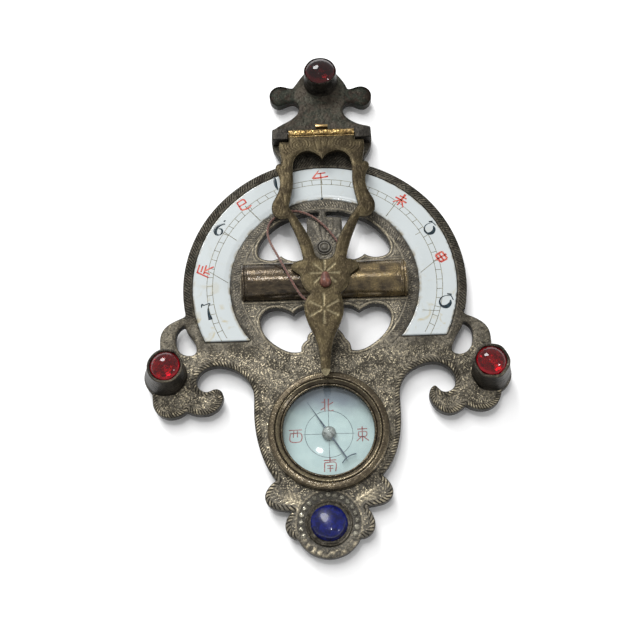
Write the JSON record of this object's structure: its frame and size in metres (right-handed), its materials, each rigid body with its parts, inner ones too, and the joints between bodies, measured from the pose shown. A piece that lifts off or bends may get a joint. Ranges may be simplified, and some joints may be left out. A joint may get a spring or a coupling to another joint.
{
  "type": "string-gnomon compass sundial",
  "caption": "Ornate cast table sundial with an enamel hour scale, a folding gnomon arm with a thread, a cross tube, a compass under domed glass and set cabochons.",
  "frame": {"origin": "on the resting surface, under the middle of the bounding box", "axes": "+Y towards the crest, +Z out of the face, +X to the right seen from the front"},
  "size_m": [0.1048, 0.1574, 0.0158],
  "materials": {
    "dark_bronze": "dark patina with gilt traces",
    "black_bronze": "dark patina",
    "olive_brass": "engraved, aged",
    "bright_brass": "rubbed bright",
    "tube_brass": "polished, aged",
    "bezel_brass": "brown, turned",
    "bowl_brass": "aged, turned",
    "copper": "oxidised",
    "steel": "turned",
    "blued_steel": "blued",
    "cap_metal": "turned",
    "white_enamel": "glossy, painted marks",
    "dial_enamel": "glossy, painted marks",
    "ruby_glass": "polished",
    "foil": "crinkled",
    "lapis": "polished",
    "clear_glass": "polished",
    "peg_wood": "worn",
    "thread": "twisted"
  },
  "bodies": {
    "root": {"main_plate": "dark_bronze", "scale_copper_base": "copper", "scale_enamel": "white_enamel", "sight_tube": "tube_brass", "tube_cap_left": "tube_brass", "tube_cap_right": "tube_brass", "knuckle_left": "black_bronze", "knuckle_right": "black_bronze", "hinge_pin": "steel", "stop_block": "bright_brass", "anchor_rosette": "dark_bronze", "gnomon_thread": "thread", "collet_rivets": "bright_brass", "lapis_seat": "dark_bronze", "lapis_cabochon": "lapis", "compass_bowl": "bowl_brass", "compass_dial": "dial_enamel", "compass_bezel": "bezel_brass", "compass_glass": "clear_glass", "glass_retaining_ring": "bezel_brass", "needle_pivot": "steel", "collet_left": "black_bronze", "foil_left": "foil", "red_glass_left": "ruby_glass", "collet_right": "black_bronze", "foil_right": "foil", "red_glass_right": "ruby_glass", "collet_top": "black_bronze", "foil_top": "foil", "red_glass_top": "ruby_glass"},
    "arm": {"gnomon_arm": "olive_brass", "arm_barrel": "bright_brass", "thread_peg": "peg_wood"},
    "needle": {"compass_needle": "blued_steel", "needle_cap": "cap_metal"}
  },
  "joints": [
    {"name": "arm_hinge", "type": "hinge", "parent": "root", "child": "arm", "pos_m": [0.0004, 0.0514, 0.0086], "axis": [-1, 0, 0], "range_deg": [0, 85.7]},
    {"name": "needle_spin", "type": "hinge", "parent": "root", "child": "needle", "pos_m": [0, -0.04385, 0.0041], "axis": [0, 0, 1], "continuous": true}
  ]
}
